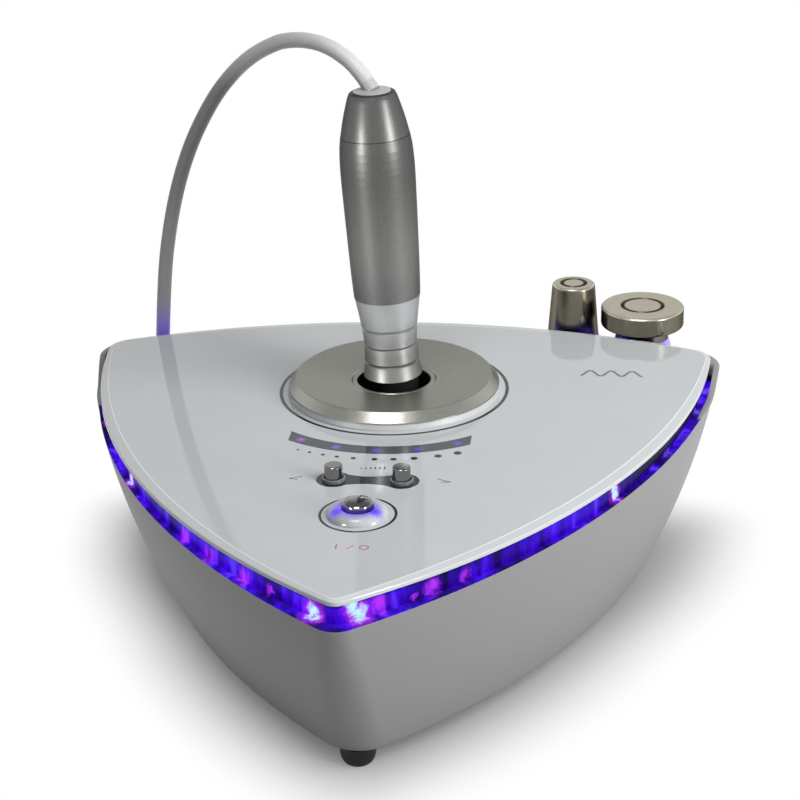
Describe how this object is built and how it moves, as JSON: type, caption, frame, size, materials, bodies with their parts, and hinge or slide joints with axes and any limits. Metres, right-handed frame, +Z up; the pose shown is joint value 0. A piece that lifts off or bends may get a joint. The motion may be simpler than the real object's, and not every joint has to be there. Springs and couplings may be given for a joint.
{
  "type": "facial toning device",
  "caption": "Desktop facial toning unit: triangular console with a glowing edge, a corded handpiece standing in a round dock, push buttons, and spare round treatment heads behind.",
  "frame": {"origin": "on the table, under the middle of the console", "axes": "+Z up; +Y from the pointed front with the power button to the back with the connectors; +X to the right, towards the spare heads"},
  "size_m": [0.2576, 0.3225, 0.2262],
  "materials": {
    "silver_shell": "satin light silver-grey paint with a fine sparkle",
    "light_window": "translucent window lit from behind in violet",
    "white_plastic": "smooth white moulding",
    "led_lens": "clear lens that glows violet",
    "pale_plate": "glossy pale grey-white plate with a bright bevel",
    "dark_plastic": "fine-grained dark moulding",
    "screw_steel": "bright steel",
    "black_rubber": "matt soft rubber",
    "disc_metal": "bead-blasted satin metal with a polished chamfer",
    "black_plastic": "semi-gloss black moulding",
    "clear_plastic": "clear moulding that carries violet light",
    "button_metal": "polished grey metal",
    "circuit_board": "green solder mask",
    "brass_fitting": "bright",
    "ferrite": "dull sintered grey",
    "copper_winding": "enamelled wire",
    "bare_aluminium": "extruded, bare",
    "capacitor_sleeve": "dark blue sleeve",
    "plated_metal": "satin nickel plate",
    "head_nickel": "warm polished nickel",
    "neck_metal": "satin turned metal with bright grooves",
    "handpiece_metal": "dark satin silver with a fine grain",
    "pale_rubber": "matt pale grey",
    "cable_jacket": "smooth light grey jacket"
  },
  "bodies": {
    "console": {"housing": "silver_shell", "light_band": "light_window", "led_strip": "white_plastic", "edge_leds": "led_lens", "reflector": "white_plastic", "deck": "white_plastic", "top_plate": "pale_plate", "base_plate": "dark_plastic", "base_screws": "screw_steel", "feet": "black_rubber", "foot_screws": "screw_steel", "dock_trim": "white_plastic", "dock_disc": "disc_metal", "dock_cup": "black_plastic", "dock_pad": "black_rubber", "dock_screws": "screw_steel", "level_collars": "pale_plate", "power_collar": "clear_plastic", "control_board": "circuit_board", "board_screws": "screw_steel", "button_switches": "black_plastic", "level_leds": "led_lens", "power_leds": "led_lens", "rf_board": "circuit_board", "board_standoffs": "brass_fitting", "transformer_core": "ferrite", "transformer_winding": "copper_winding", "heat_sink": "bare_aluminium", "power_transistor": "black_plastic", "capacitors": "capacitor_sleeve", "connector_bay": "dark_plastic", "inlet_body": "black_plastic", "inlet_pins": "screw_steel", "inlet_screws": "screw_steel", "panel_socket": "plated_metal", "socket_nut": "plated_metal", "socket_contacts": "brass_fitting", "head_shelf": "silver_shell", "shelf_screws": "screw_steel", "small_head_seat": "clear_plastic", "large_head_seat": "clear_plastic", "cable_plug": "plated_metal", "plug_sleeve": "dark_plastic", "cable_relief": "black_rubber", "handpiece_cable": "cable_jacket", "cable_coil": "cable_jacket", "cable_tie": "black_rubber"},
    "handpiece": {"handpiece_neck": "neck_metal", "handpiece_body": "handpiece_metal", "handpiece_cap": "handpiece_metal", "handpiece_grommet": "pale_rubber", "handpiece_core": "white_plastic", "handpiece_contact": "brass_fitting", "handpiece_nose": "black_plastic", "fitted_head": "head_nickel"},
    "level_down_button": {"level_down_cap": "button_metal"},
    "level_up_button": {"level_up_cap": "button_metal"},
    "power_button": {"power_cap": "button_metal"},
    "small_spare_head": {"small_head": "head_nickel"},
    "large_spare_head": {"large_head": "head_nickel"}
  },
  "joints": [
    {"name": "handpiece_lift", "type": "slide", "parent": "console", "child": "handpiece", "axis": [-0.0454, 0, 0.999], "range_m": [0, 0.06], "deforming": ["handpiece_cable"]},
    {"name": "level_down_press", "type": "slide", "parent": "console", "child": "level_down_button", "axis": [0, 0, -1], "range_m": [0, 0.0008], "stiffness_N_per_m": 400, "springref_m": -0.0005},
    {"name": "level_up_press", "type": "slide", "parent": "console", "child": "level_up_button", "axis": [0, 0, -1], "range_m": [0, 0.0008], "stiffness_N_per_m": 400, "springref_m": -0.0005},
    {"name": "power_press", "type": "slide", "parent": "console", "child": "power_button", "axis": [0, 0, -1], "range_m": [0, 0.0008], "stiffness_N_per_m": 400, "springref_m": -0.0005},
    {"name": "small_head_lift", "type": "slide", "parent": "console", "child": "small_spare_head", "axis": [0, 0, 1], "range_m": [0, 0.03]},
    {"name": "large_head_lift", "type": "slide", "parent": "console", "child": "large_spare_head", "axis": [0, 0, 1], "range_m": [0, 0.03]}
  ]
}
